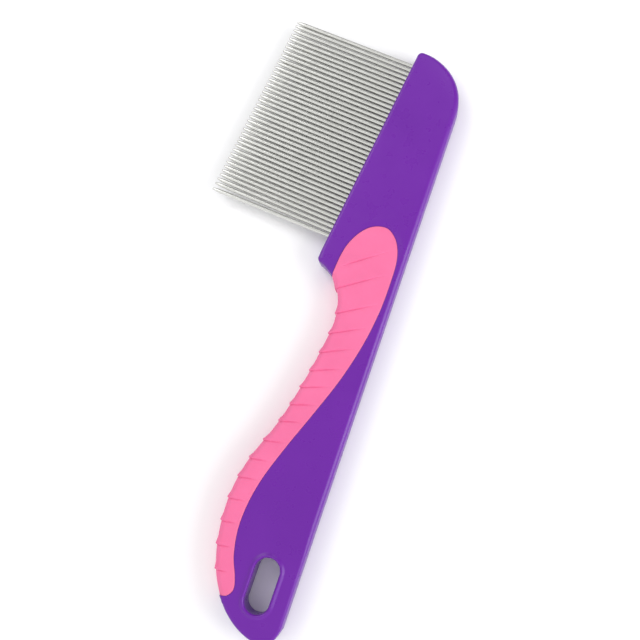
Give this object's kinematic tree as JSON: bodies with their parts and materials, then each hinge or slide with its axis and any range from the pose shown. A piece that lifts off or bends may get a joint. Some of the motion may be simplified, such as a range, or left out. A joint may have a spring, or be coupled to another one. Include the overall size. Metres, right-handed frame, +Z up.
{
  "type": "flea comb",
  "caption": "Fine-toothed comb for pet coats: a row of tapered steel pins in a flat plastic handle with a soft ribbed grip and a hanging slot.",
  "frame": {"origin": "middle of the underside of the comb's box, on the surface that it lies on", "axes": "+X along the straight spine from the tail to the head, +Y from the spine towards the tooth tips, +Z up through the thickness"},
  "size_m": [0.1404, 0.0498, 0.007],
  "materials": {
    "handle_plastic": "purple moulded plastic, semi-gloss, smooth",
    "grip_rubber": "pink soft-touch rubber, satin, with low moulded ribs",
    "pin_steel": "polished drawn steel wire"
  },
  "bodies": {
    "root": {"handle": "handle_plastic", "grip": "grip_rubber", "tooth_01": "pin_steel", "tooth_02": "pin_steel", "tooth_03": "pin_steel", "tooth_04": "pin_steel", "tooth_05": "pin_steel", "tooth_06": "pin_steel", "tooth_07": "pin_steel", "tooth_08": "pin_steel", "tooth_09": "pin_steel", "tooth_10": "pin_steel", "tooth_11": "pin_steel", "tooth_12": "pin_steel", "tooth_13": "pin_steel", "tooth_14": "pin_steel", "tooth_15": "pin_steel", "tooth_16": "pin_steel", "tooth_17": "pin_steel", "tooth_18": "pin_steel", "tooth_19": "pin_steel", "tooth_20": "pin_steel", "tooth_21": "pin_steel", "tooth_22": "pin_steel", "tooth_23": "pin_steel", "tooth_24": "pin_steel", "tooth_25": "pin_steel", "tooth_26": "pin_steel", "tooth_27": "pin_steel", "tooth_28": "pin_steel", "tooth_29": "pin_steel", "tooth_30": "pin_steel", "tooth_31": "pin_steel", "tooth_32": "pin_steel", "tooth_33": "pin_steel", "tooth_34": "pin_steel", "tooth_35": "pin_steel", "tooth_36": "pin_steel", "tooth_37": "pin_steel", "tooth_38": "pin_steel", "tooth_39": "pin_steel", "tooth_40": "pin_steel", "tooth_41": "pin_steel"}
  },
  "joints": []
}
